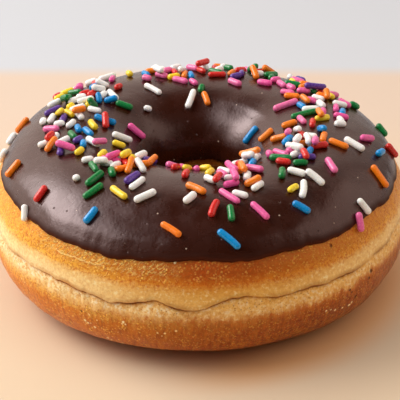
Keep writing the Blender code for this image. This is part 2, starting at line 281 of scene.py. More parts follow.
def icing_edges(azimuth):
    """Where the icing starts in the hole and where it ends outside."""
    inner = ICING_INNER - waves(azimuth, INNER_EDGE_WAVES)
    return inner, ICING_OUTER + waves(azimuth, OUTER_EDGE_WAVES)


def icing_thickness(inward):
    """The icing's thickness this far in from its edge, which is thin and round. Beyond the edge there is none."""
    short = 1 - np.clip(inward / ICING_LIP, 0, 1)
    edge = ICING_EDGE_THICKNESS * np.sqrt(1 - short * short)
    return edge + (ICING_THICKNESS - ICING_EDGE_THICKNESS) * smooth_step(inward / ICING_TAPER)


def bed_point(azimuth, across, lift):
    """A point over the icing's surface, or over the dough beyond the icing's edge."""
    inner, outer = icing_edges(azimuth)
    bed = ICING_GAP + icing_thickness(min(across - inner, outer - across))
    return Vector(ring_points(azimuth, across, swell(azimuth, across) + bed + lift))


def rod_ends(azimuth, across, heading, length, radius, lifts):
    """The centres of a rod's two round ends, lying along the heading."""
    ends = []
    for way, lift in zip((-1, 1), lifts):
        step = way * (length / 2 - radius)
        turn = step * math.cos(heading) / on_profile(across)[0]
        run = step * math.sin(heading)
        ends.append(bed_point(azimuth + turn, across + run, radius - SPRINKLE_SINK + lift))
    return ends


def nearest_distance(first, second):
    """The shortest distance between two straight pieces, each given by its two ends."""
    along, across, apart = first[1] - first[0], second[1] - second[0], first[0] - second[0]
    a, b, c = along.dot(along), along.dot(across), across.dot(across)
    d, e = along.dot(apart), across.dot(apart)
    spread = a * c - b * b
    here = min(1.0, max(0.0, (b * e - c * d) / spread)) if spread > PARALLEL else 0.0
    there = min(1.0, max(0.0, (b * here + e) / c)) if c > 0 else 0.0
    here = min(1.0, max(0.0, (b * there - d) / a)) if a > 0 else 0.0
    return ((first[0] + along * here) - (second[0] + across * there)).length


def settle(azimuth, across, heading, length, radius, laid, most_lifts=MOST_LIFTS):
    """The ends of a rod that lies on the icing or leans on rods laid before it, or None where it finds no room."""
    lifts = [(one, other) for one in range(most_lifts) for other in range(most_lifts)]
    lifts.sort(key=lambda pair: (pair[0] + pair[1], abs(pair[0] - pair[1])))
    flat = rod_ends(azimuth, across, heading, length, radius, (0, 0))
    close = [rod for rod in laid if (rod[1][0] - flat[0]).length < NEAR]
    for pair in lifts:
        ends = rod_ends(azimuth, across, heading, length, radius, [LIFT_STEP * count for count in pair])
        room = [nearest_distance(ends, rod[1]) - rod[2] - radius for rod in close]
        if not room or min(room) > -SPRINKLE_TOUCH:
            return ends
    return None


def lay_sprinkles():
    """Every sprinkle as its colour, its two end centres and its radius: the strays first, then the patches."""
    draw = random.Random(SPRINKLE_SEED)
    laid = []
    for colour, azimuth, radius, heading, length in STRAYS:
        across = across_at_radius(radius * MM)
        thick = draw.uniform(*SPRINKLE_RADIUS)
        ends = settle(math.radians(azimuth), across, math.radians(heading), length * MM, thick, laid)
        if ends:
            laid.append((colour, ends, thick))
    for azimuth, azimuth_spread, radius, radius_spread, count in PATCHES:
        for _ in range(count):
            colour = draw.choices(COLOURS, COLOUR_SHARES)[0]
            length = draw.triangular(*SPRINKLE_LENGTH)
            thick = draw.uniform(*SPRINKLE_RADIUS)
            for attempt in range(MOST_TRIES):
                place = math.radians(draw.gauss(azimuth, azimuth_spread))
                across = across_at_radius(draw.gauss(radius, radius_spread) * MM)
                most = 1 if attempt < FLAT_TRIES else MOST_LIFTS
                ends = settle(place, across, draw.uniform(0, math.pi), length, thick, laid, most)
                if ends:
                    laid.append((colour, ends, thick))
                    break
    return laid


LAYER_SHIFT = (7.31, 3.17, 5.73)  # how far apart two layers of noise are read, in lumps


def roughness_field(points, size, layer):
    """Smooth noise of about -1 to 1 at each point, with lumps of this size in metres. Layers differ."""
    shift = Vector([layer * step for step in LAYER_SHIFT])
    flat = points.reshape(-1, 3) / size
    values = [noise.noise(Vector(place) + shift) for place in flat.tolist()]
    return 2 * np.array(values).reshape(points.shape[:-1])


def lumps(points, table, first_layer):
    """Noise of several sizes, each given as its lumps' size and how tall they are."""
    return sum(
        tall * roughness_field(points, size, first_layer + layer) for layer, (size, tall) in enumerate(table)
    )


def round_ring(segments):
    """The azimuth of each segment, and its place on a circle as wide as the ring."""
    azimuth = 2 * math.pi * np.arange(segments)[:, None] / segments
    return azimuth, np.concatenate([np.cos(azimuth), np.sin(azimuth), 0 * azimuth], axis=-1) * OUTER_RADIUS


def grid_faces(segments, rows):
    """Quads of a closed grid of points, numbered row by row within each segment."""
    segment, row = np.meshgrid(np.arange(segments), np.arange(rows), indexing="ij")
    following, above = (segment + 1) % segments, (row + 1) % rows
    corners = (segment * rows + row, segment * rows + above, following * rows + above, following * rows + row)
    return np.stack(corners, axis=-1).reshape(-1, 4)


def mesh_of(name, points, faces, attributes):
    """A smooth mesh with one value at each point for every attribute."""
    mesh = bpy.data.meshes.new(name)
    mesh.from_pydata(points.reshape(-1, 3).tolist(), [], faces.tolist())
    for label, values in attributes.items():
        layer = mesh.attributes.new(label, "FLOAT", "POINT")
        layer.data.foreach_set("value", np.asarray(values, np.float32).reshape(-1))
    mesh.shade_smooth()
    mesh.update()
    return mesh


# Crust: rows packed close along the crack and spread out where nobody sees them
DOUGH_SEGMENTS = 800
CRACK_STEP = 0.00012
CRACK_ROWS = 12
CRUST_STEP = 0.00042
UNDER_ICING = 0.001  # how far the fine rows reach under the icing
UPPER_ROWS = 23
HIDDEN_ROWS = 6
FOOT_ROWS = 4
HOLE_ROWS = 14
CRACK_WANDER = ((0.0045, 0.00022), (0.0018, 0.00013))  # size of the wander and how far it goes
BLISTER_LEVEL = 5.4  # mm above the crack, of a thin pale ridge on the left of the upper crust
BLISTER_ROUND = 27.8  # mm to the left of the front, of its middle
# Marks on the crust: mm round from the front and down from the seam's level, and the radius. Pits are darkened with
# painted shade; glints are painted highlights
PITS = (
    (42.4, 3.5, 0.42), (41.5, 4.7, 0.32), (30.6, -7.3, 0.40), (34.6, 4.4, 0.30), (35.2, 5.2, 0.26), (36.7, 7.0, 0.40),
    (-26.2, 5.6, 0.22),
)
GLINTS = (
    (-25.6, 7.9, 0.40), (-24.9, 8.4, 0.28), (-23.3, 9.1, 0.34), (-20.9, 11.9, 0.36), (-20.2, 12.5, 0.24),
    (-17.9, 13.6, 0.42), (-16.3, 5.6, 0.34), (-15.8, 6.1, 0.24), (28.0, 7.0, 0.26), (29.4, 7.3, 0.22),
    (30.7, 8.0, 0.32), (33.0, 8.4, 0.26), (35.2, 8.8, 0.40), (35.9, 8.3, 0.28), (-5.4, -9.0, 0.34),
)
CRACK_DEPTH = 0.00060
CRACK_WIDTH = 0.00018
CRACK_SHARES = (0.65, 0.5)  # the mean share of its depth, and how much that changes along it
CRACK_CHANGE = 0.006
FOOT_CLEAR = 0.004  # the height at which the lumps reach their full size
CRUST_LUMPS = ((0.0090, 0.00013), (0.0038, 0.00006), (0.0016, 0.00002))
BAND_LUMPS = ((0.0026, 0.00012), (0.0012, 0.00010))
BAND_WIDTH = 0.0026
TUCK_DEPTH = 0.0013  # how far the crust's lower edge is drawn in at the front
TUCK_AZIMUTH = math.radians(268)
TUCK_SPREAD = math.radians(30)
TUCK_HEIGHT = 0.0024
TUCK_WIDTH = 0.0025
TUCK_CLEAR = 0.001
# Each kind of noise has layers of its own, so that no two are alike
WANDER_LAYER, CRUST_LAYER, BAND_LAYER, DEPTH_LAYER, EDGE_LAYER, ICING_LAYER = range(0, 60, 10)

# How browned the crust is above and below the seam, as azimuth in degrees and a share: partly uneven frying, partly
# painted light and shade, golden on the lit left side and deepest towards the front
TOAST_AND_SHADE_ABOVE = (
    (200, 0.0), (223, 0.1), (239, 0.35), (255, 0.7), (270, 1.0), (285, 0.95), (302, 0.7), (320, 0.5), (345, 0.3),
    (520, 0.1),
)
TOAST_AND_SHADE_BELOW = (
    (200, 0.0), (214, 0.05), (230, 0.15), (242, 0.3), (255, 0.55), (270, 0.8), (302, 1.0), (333, 0.9), (420, 0.6),
    (520, 0.2),
)
TOAST_AND_SHADE_BLEND = 0.003


def toasting_and_shade(azimuth, level):
    """How browned the crust is, from 0 to 1, with painted light and shade: golden on the lit left side, deeper
    towards the front.
    """
    above, below = [
        np.interp(np.degrees(azimuth), *zip(*table), period=360) for table in (TOAST_AND_SHADE_ABOVE, TOAST_AND_SHADE_BELOW)
    ]
    return above + (below - above) * smooth_step(0.5 + level / TOAST_AND_SHADE_BLEND / 2)


def make_dough():
    """The ring with its seam, torn band, crack and lumps, and what the crust's colours go by at each point."""
    azimuth, circle = round_ring(DOUGH_SEGMENTS)
    foot = [run for run, height in zip(RUN, HEIGHT) if height == 0]
    crack = CRACK_STEP * np.arange(-CRACK_ROWS, CRACK_ROWS)
    above = np.linspace(ICING_OUTER - UNDER_ICING, SEAM_ACROSS + crack[0], UPPER_ROWS, endpoint=False)
    low = SEAM_ACROSS + CRACK_ROWS * CRACK_STEP
    below = np.linspace(low, foot[0], round((foot[0] - low) / CRUST_STEP), endpoint=False)
    rows = np.concatenate([
        np.linspace(ICING_INNER, above[0], HIDDEN_ROWS, endpoint=False),
        above,
        SEAM_ACROSS + crack,
        below,
        np.linspace(foot[0], foot[-1], FOOT_ROWS, endpoint=False),
        np.linspace(foot[-1], ICING_INNER + AROUND, HOLE_ROWS, endpoint=False),
    ])
    across = rows[None, :]
    below_seam = across - SEAM_ACROSS
    wander = lumps(circle, CRACK_WANDER, WANDER_LAYER)[:, None]
    near = smooth_step(1 - np.abs(below_seam) / SEAM_REACH)
    moved = across - (seam_rise(azimuth) + wander) * near
    lift = swell(azimuth, moved) + waist(below_seam) * smooth_step(2 * (1 - np.abs(below_seam) / SEAM_REACH))
    points = ring_points(azimuth, moved, lift)
    height = points[..., 2]
    lift = lift + smooth_step(height / FOOT_CLEAR) * lumps(points, CRUST_LUMPS, CRUST_LAYER)
    lift = lift + hump((below_seam - BAND_WIDTH / 2) / BAND_WIDTH) * lumps(points, BAND_LUMPS, BAND_LAYER)
    tuck = hump((height - TUCK_HEIGHT) / TUCK_WIDTH) * smooth_step(height / TUCK_CLEAR)
    outside = (across > 0) & (across < AROUND / 2)
    lift = lift - TUCK_DEPTH * tuck * outside * hump(turned(azimuth, TUCK_AZIMUTH) / TUCK_SPREAD)
    depth = CRACK_SHARES[0] + CRACK_SHARES[1] * roughness_field(circle, CRACK_CHANGE, DEPTH_LAYER)[:, None]
    lift = lift - CRACK_DEPTH * depth * hump((below_seam - CRACK_WIDTH) / CRACK_WIDTH)
    points = ring_points(azimuth, moved, lift)
    shape = (DOUGH_SEGMENTS, len(rows))
    attributes = {
        "below_seam": np.broadcast_to(below_seam / MM, shape),
        "below_level": np.broadcast_to((moved - SEAM_ACROSS) / MM, shape),
        "round": np.broadcast_to(turned(azimuth, math.radians(270)) * OUTER_RADIUS / MM, shape),
        "crack_depth": np.broadcast_to(depth, shape),
        "toast_and_shade": np.broadcast_to(toasting_and_shade(azimuth, moved - SEAM_ACROSS), shape),
    }
    return mesh_of("dough", points, grid_faces(*shape), attributes)


# Icing: a bead along its edge, slow ripples and a fold where it ran down into the hole
ICING_SEGMENTS = 1200
ICING_ROWS = 60
LIP_ROWS = 7
UNDER_ROWS = 5
ICING_BED = -0.00012  # how high the icing's underside lies over the dough: a little sunk, so it sticks to it
BEAD_IN = 0.0012
BEAD_WIDTH = 0.0009
BEAD_HEIGHT = 0.00010
ICING_LUMPS = ((0.0110, 0.00014), (0.0045, 0.000045))
ICING_LUMPS_IN = 0.003  # how far in from the edge they reach their full height
EDGE_WANDER = ((0.0060, 0.00026), (0.0024, 0.00013), (0.0011, 0.00004))
FOLD_AZIMUTH = math.radians(40)
FOLD_SPREAD = math.radians(30)
FOLD_RADIUS = 0.0178
FOLD_WIDTH = 0.0006
FOLD_HEIGHT = 0.00020


def make_icing():
    """The icing from the hole out to its outer edge, with an underside, and how far in each point lies."""
    azimuth, circle = round_ring(ICING_SEGMENTS)
    wander = lumps(circle, EDGE_WANDER, EDGE_LAYER)[:, None]
    inner, outer = icing_edges(azimuth)
    inner, outer = inner - wander, outer + wander
    lip = ICING_LIP * (1 - np.cos(np.linspace(0, math.pi / 2, LIP_ROWS)))[None, :]
    share = np.linspace(0, 1, ICING_ROWS + 1)[None, 1:-1]
    body = (outer - ICING_LIP) + (inner - outer + 2 * ICING_LIP) * share
    over = np.concatenate([outer - lip, body, (inner + lip)[:, ::-1]], axis=1)
    inward = np.minimum(over - inner, outer - over)
    short = 1 - np.clip(inward / ICING_LIP, 0, 1)
    foot = (ICING_GAP - ICING_BED) * np.sqrt(1 - short * short)
    bead = BEAD_HEIGHT * hump((inward - BEAD_IN) / BEAD_WIDTH)
    lift = swell(azimuth, over) + ICING_BED + foot + icing_thickness(inward) + bead
    points = ring_points(azimuth, over, lift)
    lift = lift + smooth_step(inward / ICING_LUMPS_IN) * lumps(points, ICING_LUMPS, ICING_LAYER)
    radius = np.hypot(points[..., 0], points[..., 1])
    fold = hump(turned(azimuth, FOLD_AZIMUTH) / FOLD_SPREAD) * hump((radius - FOLD_RADIUS) / FOLD_WIDTH)
    lift = lift + FOLD_HEIGHT * fold
    top = ring_points(azimuth, over, lift)
    under = inner + (outer - inner) * np.linspace(0, 1, UNDER_ROWS + 2)[None, 1:-1]
    bottom = ring_points(azimuth, under, swell(azimuth, under) + ICING_BED)
    points = np.concatenate([bottom, top], axis=1)
    edge = np.concatenate([0 * under, inward / MM + 0 * azimuth], axis=1)
    return mesh_of("icing", points, grid_faces(*points.shape[:2])[:, ::-1], {"from_edge": edge})


# A sprinkle: a rod with round ends, a slight bend and slightly uneven thickness
ROD_SIDES = 14
ROD_CAP_ROWS = 4
ROD_BODY_ROWS = 4
ROD_BEND = 0.035
ROD_UNEVEN = 0.04
ROD_TILT = 0.2  # how far outwards a rod's upper side faces
SHORTEST = 1e-6


def rod_points(ends, radius, draw):
    """Rings of points along one rod, from tip to tip, and the number of rings."""
    along = ends[1] - ends[0]
    length = along.length
    along = along / length if length > SHORTEST else Vector((1, 0, 0))
    outward = Vector((ends[0].x, ends[0].y, 0)).normalized() * ROD_TILT + Vector((0, 0, 1))
    side = along.cross(outward).normalized()
    other = along.cross(side).normalized()
    bend = draw.uniform(-1, 1) * ROD_BEND * length
    waver = [1 + draw.uniform(-1, 1) * ROD_UNEVEN for _ in range(3)]
    stations = []
    for step in range(1, ROD_CAP_ROWS + 1):
        turn = math.pi / 2 * step / ROD_CAP_ROWS
        stations.append((-radius * math.cos(turn), math.sin(turn)))
    for step in range(1, ROD_BODY_ROWS):
        stations.append((length * step / ROD_BODY_ROWS, 1.0))
    for step in range(ROD_CAP_ROWS, 0, -1):
        turn = math.pi / 2 * step / ROD_CAP_ROWS
        stations.append((length + radius * math.cos(turn), math.sin(turn)))
    points = [tuple(ends[0] - along * radius)]
    for place, width in stations:
        share = min(1.0, max(0.0, place / length)) if length > SHORTEST else 0.5
        centre = ends[0] + along * place + side * (bend * 4 * share * (1 - share))
        thick = radius * width * float(np.interp(share, (0, 0.5, 1), waver))
        for step in range(ROD_SIDES):
            turn = 2 * math.pi * step / ROD_SIDES
            points.append(tuple(centre + thick * (side * math.cos(turn) + other * math.sin(turn))))
    points.append(tuple(ends[1] + along * radius))
    return points, len(stations)


def rod_faces(first, rings):
    """Faces of one rod whose points start at this number."""
    faces = []
    last = first + 1 + rings * ROD_SIDES
    for step in range(ROD_SIDES):
        after = (step + 1) % ROD_SIDES
        faces.append((first, first + 1 + after, first + 1 + step))
        for ring in range(rings - 1):
            here, there = first + 1 + ring * ROD_SIDES, first + 1 + (ring + 1) * ROD_SIDES
            faces.append((here + step, here + after, there + after, there + step))
        here = last - ROD_SIDES
        faces.append((here + step, here + after, last))
    return faces


def make_sprinkles():
    """One mesh for each colour."""
    draw = random.Random(SPRINKLE_SEED)
    laid = lay_sprinkles()
    meshes = {}
    for colour in COLOURS:
        points, faces, shade = [], [], []
        for _, ends, radius in (rod for rod in laid if rod[0] == colour):
            new, rings = rod_points(ends, radius, draw)
            faces += rod_faces(len(points), rings)
            shade += [draw.random()] * len(new)
            points += new
        mesh = bpy.data.meshes.new(f"sprinkles_{colour}")
        mesh.from_pydata(points, [], faces)
        layer = mesh.attributes.new("shade", "FLOAT", "POINT")
        layer.data.foreach_set("value", shade)
        mesh.shade_smooth()
        meshes[colour] = mesh
    return meshes


def srgb(*values):
    """A colour given as 0 to 255 turned into Blender's linear colour."""
    linear = [(v / 255 / 12.92 if v <= 10 else ((v / 255 + 0.055) / 1.055) ** 2.4) for v in values]
    return (*linear, 1)


class Nodes:
    """Short ways to add shader nodes to one material or world."""

    def __init__(self, owner, shader="Principled BSDF"):
        owner.use_nodes = True
        self.owner = owner
        self.tree = owner.node_tree
        self.shader = self.tree.nodes[shader]
        self.coordinates = self.add("ShaderNodeTexCoord").outputs
        self.place = self.coordinates["Object"]

    def add(self, kind, **settings):
        made = self.tree.nodes.new(kind)
        for key, value in settings.items():
            setattr(made, key, value)
        return made

    def put(self, socket, value):
        """Links the socket where the value is another node's socket, and sets it otherwise."""
        if isinstance(value, bpy.types.NodeSocket):
            self.tree.links.new(value, socket)
        else:
            socket.default_value = value

    def set(self, name, value):
        """One of the shader's own inputs."""
        self.put(self.shader.inputs[name], value)

    def attribute(self, name):
        return self.add("ShaderNodeAttribute", attribute_name=name).outputs["Fac"]

    def math(self, operation, first, second=0.0, third=0.0):
        made = self.add("ShaderNodeMath", operation=operation)
        for socket, value in zip(made.inputs, (first, second, third)):
            self.put(socket, value)
        return made.outputs[0]

    def times(self, first, *others):
        """All the values multiplied."""
        for other in others:
            first = self.math("MULTIPLY", first, other)
        return first

    def either_way(self, value, reach):
        """Noise of 0 to 1 turned into shifts both ways, this far apart."""
        return self.math("MULTIPLY_ADD", value, reach, -reach / 2)

    def away(self, value, centre):
        """How far the value lies from the centre, on either side."""
        return self.math("ABSOLUTE", self.math("SUBTRACT", value, centre))

    def span(self, value, low, high, start=0.0, end=1.0):
        """The value's place between low and high, smoothed, from start to end."""
        made = self.add("ShaderNodeMapRange", interpolation_type="SMOOTHSTEP")
        for socket, number in zip(made.inputs, (value, low, high, start, end)):
            self.put(socket, number)
        return made.outputs[0]

    def vector_math(self, operation, first, second=(0, 0, 0)):
        made = self.add("ShaderNodeVectorMath", operation=operation)
        self.put(made.inputs[0], first)
        made.inputs[1].default_value = second
        return made.outputs["Value" if operation in ("DISTANCE", "LENGTH") else "Vector"]

    def vector(self, x, y):
        """The place at x and y, with no height."""
        made = self.add("ShaderNodeCombineXYZ")
        self.put(made.inputs[0], x)
        self.put(made.inputs[1], y)
        return made.outputs[0]

    def split(self, place):
        """The place's X, Y and Z."""
        made = self.add("ShaderNodeSeparateXYZ")
        self.put(made.inputs[0], place)
        return made.outputs

    def turn(self, place, degrees):
        """The place turned about Z."""
        made = self.add("ShaderNodeVectorRotate", rotation_type="Z_AXIS")
        self.put(made.inputs["Vector"], place)
        made.inputs["Angle"].default_value = math.radians(degrees)
        return made.outputs[0]

    def noise(self, size, detail=3.0, rough=0.55, place=None, stretch=None):
        """Noise of 0 to 1 with lumps of this size, which is in metres unless another place is given."""
        place = place or self.place
        if stretch:
            place = self.vector_math("MULTIPLY", place, stretch)
        made = self.add("ShaderNodeTexNoise")
        self.put(made.inputs["Vector"], place)
        made.inputs["Scale"].default_value = 1 / size
        made.inputs["Detail"].default_value = detail
        made.inputs["Roughness"].default_value = rough
        return made.outputs["Fac"]

    def cells(self, size):
        """Distance from the nearest of many scattered points, in cells of this size in metres."""
        made = self.add("ShaderNodeTexVoronoi")
        self.put(made.inputs["Vector"], self.place)
        made.inputs["Scale"].default_value = 1 / size
        return made.outputs["Distance"]

    def spots(self, place, marks, ragged):
        """1 inside any of the round marks, each given as place and radius, with ragged edges, and 0 outside."""
        inside = 0.0
        for x, y, radius in marks:
            apart = self.math("ADD", self.vector_math("DISTANCE", place, (x, y, 0)), ragged)
            inside = self.math("MAXIMUM", inside, self.span(apart, radius * 0.5, radius * 1.2, 1.0, 0.0))
        return inside

    def ramp(self, value, stops):
        """Colours by value: each stop is a value and a colour, and the first and last value set the range."""
        low, high = stops[0][0], stops[-1][0]
        spread = self.add("ShaderNodeMapRange")
        for socket, number in zip(spread.inputs, (value, low, high, 0.0, 1.0)):
            self.put(socket, number)
        made = self.add("ShaderNodeValToRGB")
        self.put(made.inputs[0], spread.outputs[0])
        elements = made.color_ramp.elements
        elements[0].position, elements[0].color = 0.0, srgb(*stops[0][1:])
        elements[1].position, elements[1].color = 1.0, srgb(*stops[-1][1:])
        for place, *colour in stops[1:-1]:
            element = elements.new((place - low) / (high - low))
            element.color = srgb(*colour)
        return made.outputs[0]

    def mix(self, share, first, second):
        made = self.add("ShaderNodeMix", data_type="RGBA")
        self.put(made.inputs[0], share)
        self.put(made.inputs[6], first)
        self.put(made.inputs[7], second)
        return made.outputs[2]

    def bump(self, height, distance, under=None):
        """A normal that shows heights of 0 to 1 as this many metres, over another one."""
        made = self.add("ShaderNodeBump")
        made.inputs["Strength"].default_value = 1.0
        made.inputs["Distance"].default_value = distance
        self.put(made.inputs["Height"], height)
        if under:
            self.put(made.inputs["Normal"], under)
        return made.outputs[0]


# The crust's colours by mm below the seam, above it if negative: where it is golden and where it is deep brown, mixed
# by browning with painted light and shade
GOLDEN = (
    (-10.0, 243, 158, 48),
    (-6.0, 247, 174, 54),
    (-4.4, 252, 192, 72),
    (-3.2, 250, 214, 140),
    (-1.5, 255, 230, 168),
    (1.0, 255, 230, 170),
    (2.3, 255, 230, 166),
    (3.6, 254, 218, 144),
    (5.0, 250, 190, 86),
    (6.6, 234, 138, 30),
    (12.0, 220, 116, 24),
    (22.0, 196, 92, 20),
)
DEEP = (
    (-10.0, 150, 66, 24),
    (-6.0, 160, 72, 24),
    (-4.4, 206, 114, 32),
    (-3.2, 226, 158, 66),
    (-1.5, 238, 182, 90),
    (1.0, 246, 190, 96),
    (1.8, 246, 196, 114),
    (2.9, 236, 176, 92),
    (4.0, 192, 104, 36),
    (5.2, 144, 58, 17),
    (9.0, 118, 40, 12),
    (12.0, 106, 33, 10),
    (22.0, 90, 27, 9),
)
# The colours laid over these, in the order in which they are laid
DAPPLE = srgb(186, 82, 24)
# Pale flecks, partly painted glints
FLECK_AND_GLINT = srgb(255, 196, 88)
# Painted highlight colour of the streaks
STREAK_GLINT = srgb(255, 220, 132)
BLISTER = srgb(255, 222, 140)
STRAND_PALE = srgb(240, 150, 48)
STRAND_DARK = srgb(136, 50, 12)
# Painted highlight colour of the gleams
GLEAM = srgb(255, 226, 160)
MOTTLE = srgb(206, 128, 48)
CRUMB = srgb(255, 238, 184)
# Painted shade colour of the torn band's hollows
HOLLOW_SHADE = srgb(214, 134, 50)
FLAKE = srgb(255, 240, 208)
# Painted shade colour of the pores
PORE_SHADE = srgb(166, 92, 34)
# Painted shadow colours along the crack
CRACK_SHADOW_GOLDEN = srgb(206, 142, 72)
CRACK_SHADOW_DEEP = srgb(150, 88, 34)
# Painted shade colours in the crack
CRACK_SHADE_GOLDEN = srgb(206, 124, 50)
CRACK_SHADE_DEEP = srgb(158, 88, 32)
# Painted shade colour inside the hole
HOLE_SHADE = srgb(118, 52, 20)
# Painted shade colour of the pits
PIT_SHADE = srgb(98, 46, 12)
# Painted highlight colour of the glints
GLINT = srgb(255, 236, 184)

# Sizes of the crust's noise, in metres
PATCH_SIZE = 0.0075
FINE_SIZE = 0.0010
GRAIN_SIZE = 0.00055
FLECK_SIZE = 0.00066
FLECK_FINE_SIZE = 0.0006
FLECK_UNEVEN_SIZE = 0.0013
FLECK_GROUP_SIZE = 0.0030
GLEAM_SIZE = 0.0011
GLEAM_UNEVEN_SIZE = 0.0009
GLEAM_GROUP_SIZE = 0.0045
MOTTLE_SIZE = 0.00075
FLAKE_SIZE = 0.00085
PORE_SIZE = 0.00070
PORE_GROUP_SIZE = 0.003
RAGGED_SIZE = 0.0005
GLOSS_SIZE = 0.0016
DIMPLE_SIZE = 0.0014
# The same in mm on the unrolled crust, with the stretch round and down
FINGER_SIZE, FINGER_STRETCH = 1.2, (1, 0.18, 1)
STREAK_SIZE, STREAK_STRETCH, STREAK_TURN = 0.42, (0.32, 1, 1), 40
BLISTER_SIZE, BLISTER_STRETCH = 3.0, (1, 0, 1)
STRAND_SIZE, STRAND_STRETCH = 0.8, (1, 0.26, 1)
# How far noise shifts the browning, the blister and the edges of marks, in mm
PATCH_REACH = 2.2
FINE_REACH = 1.6
FINGER_REACH = 4.0
BLISTER_REACH = 1.6
RAGGED_REACH = 0.5
# How strongly the marks are laid on
STREAK_GLINT_SHARE = 0.72
BLISTER_SHARE = 0.55
PORE_SHADE_SHARE = 0.6
PIT_SHADE_SHARE = 0.85
HOLE_SHADE_SHARE = 0.72
# Relief, in metres
GRAIN_RELIEF = 0.00006
DIMPLE_RELIEF = 0.00008
STREAK_RELIEF = 0.00008
FLECK_RELIEF = 0.00010
PIT_RELIEF = 0.00030
PORE_RELIEF = 0.00004
HOLE_SHADE_RADIUS = (0.020, 0.0155)  # where the painted shade in the hole starts and where it is full
STREAKS_ROUND = -24.0  # mm round from the front, of the streaks' middle
CRUST_SHEEN = (1.0, 0.78, 0.46, 1)


def browned_level(n, level, skin):
    """The level below the seam in mm, shifted up and down so that the browning has patches and fingers."""
    fine = n.either_way(n.noise(FINE_SIZE, 3, 0.6), FINE_REACH)
    patchy = n.math("ADD", n.either_way(n.noise(PATCH_SIZE, 3), PATCH_REACH), fine)
    fingers = n.either_way(n.noise(FINGER_SIZE, 4, 0.65, place=skin, stretch=FINGER_STRETCH), FINGER_REACH)
    fingers = n.times(fingers, n.span(level, 0.8, 3.0))
    return n.math("ADD", level, n.math("ADD", patchy, fingers))


def with_flecks(n, colour, grain, crusty, around):
    """The colour with dark dapples and pale flecks that are partly painted glints, brightest on the lit left, and the
    flecks' height.
    """
    dapple = n.times(n.span(grain, 0.36, 0.56, 0.75, 0.0), n.math("MULTIPLY_ADD", crusty, 0.75, 0.25))
    colour = n.mix(dapple, colour, DAPPLE)
    uneven = n.span(n.noise(FLECK_UNEVEN_SIZE, 2), 0.35, 0.65, -0.10, 0.16)
    flecks = n.span(n.math("ADD", n.cells(FLECK_SIZE), uneven), 0.20, 0.36, 1.0, 0.0)
    flecks = n.math("MAXIMUM", flecks, n.span(n.noise(FLECK_FINE_SIZE, 2), 0.58, 0.70))
    gathered = n.span(n.noise(FLECK_GROUP_SIZE, 2), 0.34, 0.60, 0.30, 1.0)
    flecks = n.times(flecks, gathered, n.math("MULTIPLY_ADD", crusty, 0.9, 0.1))
    # Painted highlight: the flecks glint brighter on the left, where the window light falls
    bright = n.span(around, 2.0, -20.0, 0.40, 1.0)
    return n.mix(n.times(flecks, bright), colour, FLECK_AND_GLINT), flecks


def with_streaks(n, colour, level, around, skin):
    """The colour with slanting pale streaks, painted as glints on the lit left of the upper crust, and one thin
    blister there, and their height.
    """
    slanted = n.turn(skin, STREAK_TURN)
    streaks = n.span(n.noise(STREAK_SIZE, 4, 0.7, place=slanted, stretch=STREAK_STRETCH), 0.50, 0.60)
    left = n.span(n.away(around, STREAKS_ROUND), 22.0, 12.0)
    streaks = n.times(streaks, n.times(n.span(level, -4.6, -7.0), left))
    # Painted highlight: pale streaks glinting on the lit left, over their own slight relief
    colour = n.mix(n.times(streaks, STREAK_GLINT_SHARE), colour, STREAK_GLINT)
    wave = n.noise(BLISTER_SIZE, 3, 0.6, place=skin, stretch=BLISTER_STRETCH)
    wavy = n.math("MULTIPLY_ADD", wave, BLISTER_REACH, level)
    ridge = n.span(n.away(wavy, -BLISTER_LEVEL), 0.05, 0.24, 1.0, 0.0)
    ridge = n.times(ridge, n.span(n.away(around, -BLISTER_ROUND), 7.5, 5.5))
    return n.mix(n.times(ridge, BLISTER_SHARE), colour, BLISTER), n.math("MAXIMUM", streaks, ridge)


def with_strands(n, colour, level, around, skin):
    """The colour with pale and dark strands down the lower crust, and painted gleams of highlight on its lit left."""
    strands = n.noise(STRAND_SIZE, 4, 0.65, place=skin, stretch=STRAND_STRETCH)
    low = n.span(level, 3.0, 6.0)
    colour = n.mix(n.times(low, n.span(strands, 0.42, 0.64, 0.0, 0.24)), colour, STRAND_PALE)
    colour = n.mix(n.times(low, n.span(strands, 0.48, 0.36, 0.0, 0.36)), colour, STRAND_DARK)
    # Painted highlight: gleams where the window catches the lower crust on the left
    uneven = n.span(n.noise(GLEAM_UNEVEN_SIZE, 2), 0.3, 0.7, -0.08, 0.12)
    gleams = n.span(n.math("ADD", n.cells(GLEAM_SIZE), uneven), 0.10, 0.22, 1.0, 0.0)
    gathered = n.span(n.noise(GLEAM_GROUP_SIZE, 2), 0.46, 0.62)
    gleams = n.times(gleams, gathered, n.span(level, 4.0, 6.0), n.span(around, 14.0, -6.0))
    return n.mix(gleams, colour, GLEAM)


def with_crumb(n, colour, crusty):
    """The colour mottled, and with pale crumb where there is no crust."""
    mottle = n.noise(MOTTLE_SIZE, 4, 0.7)
    colour = n.mix(n.span(mottle, 0.52, 0.34, 0.0, 0.34), colour, MOTTLE)
    crumb = n.times(n.span(mottle, 0.54, 0.66, 0.0, 0.6), n.math("SUBTRACT", 1.0, crusty))
    return n.mix(crumb, colour, CRUMB)


